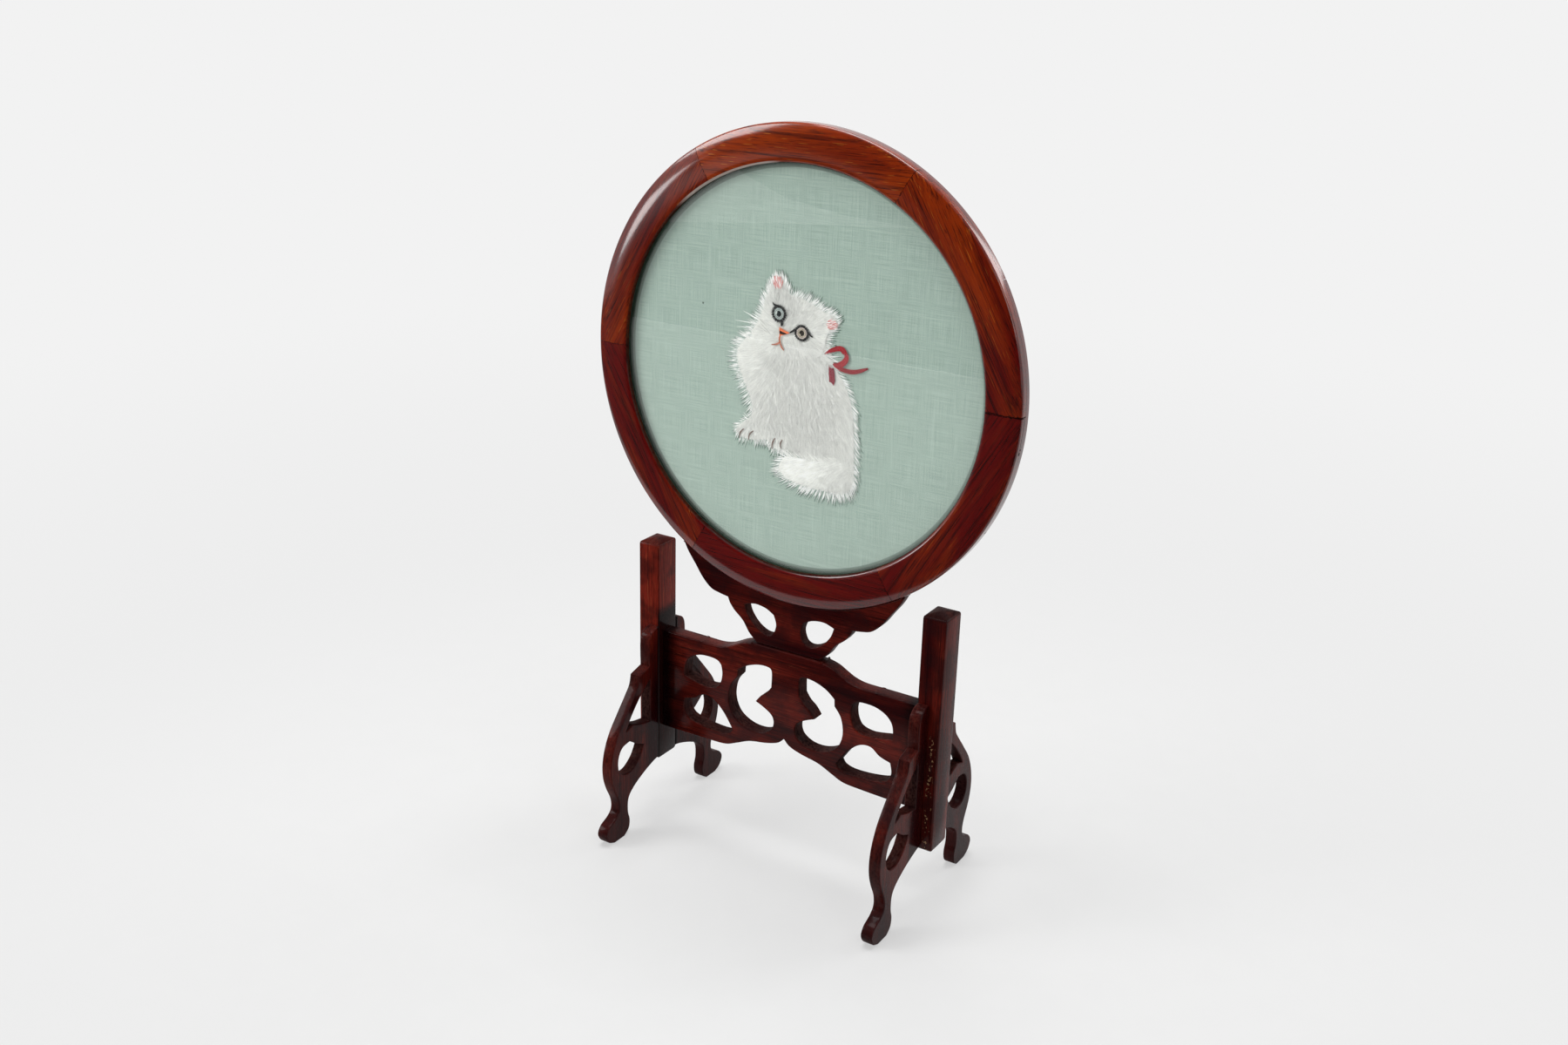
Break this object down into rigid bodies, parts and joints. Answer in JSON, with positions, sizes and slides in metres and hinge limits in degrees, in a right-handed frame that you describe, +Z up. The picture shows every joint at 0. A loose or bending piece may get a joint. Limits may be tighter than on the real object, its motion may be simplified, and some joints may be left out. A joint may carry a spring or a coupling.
{
  "type": "double-sided silk screen",
  "caption": "Round table screen: embroidered silk behind glass in a glued hardwood ring, which swivels on a pin in the carved rail of a two-post stand with pierced bracket feet.",
  "frame": {"origin": "on the table, under the middle of the stand", "axes": "+Z up; X along the rail, from post to post; -Y towards the front"},
  "size_m": [0.2, 0.0924, 0.3224],
  "materials": {
    "frame_wood": "lacquered reddish hardwood with fine straight grain",
    "stand_wood": "dark red lacquered hardwood",
    "hoop_wood": "dark green painted strip wood",
    "dowel_wood": "plain turned wood",
    "silk": "plain-woven celadon silk",
    "floss": "silk floss, mostly white, stitched",
    "glass": "clear polished sheet",
    "brass": "drawn rod"
  },
  "bodies": {
    "stand": {"cross_rail": "stand_wood", "post_left": "stand_wood", "post_right": "stand_wood", "bracket_front_left": "stand_wood", "bracket_front_right": "stand_wood", "bracket_back_left": "stand_wood", "bracket_back_right": "stand_wood"},
    "screen": {"ring_front_1": "frame_wood", "ring_front_2": "frame_wood", "ring_front_3": "frame_wood", "ring_front_4": "frame_wood", "ring_front_5": "frame_wood", "ring_front_6": "frame_wood", "ring_back_1": "frame_wood", "ring_back_2": "frame_wood", "ring_back_3": "frame_wood", "ring_back_4": "frame_wood", "ring_back_5": "frame_wood", "ring_back_6": "frame_wood", "silk_panel": "silk", "spacer_front": "hoop_wood", "spacer_back": "hoop_wood", "glass_front": "glass", "glass_back": "glass", "embroidery_front": "floss", "embroidery_back": "floss", "saddle": "stand_wood", "saddle_dowel_left": "dowel_wood", "saddle_dowel_right": "dowel_wood", "pivot_pin": "brass"}
  },
  "joints": [
    {"name": "screen_swivel", "type": "hinge", "parent": "stand", "child": "screen", "pos_m": [0, 0, 0.0992], "axis": [0, 0, 1], "continuous": true}
  ]
}
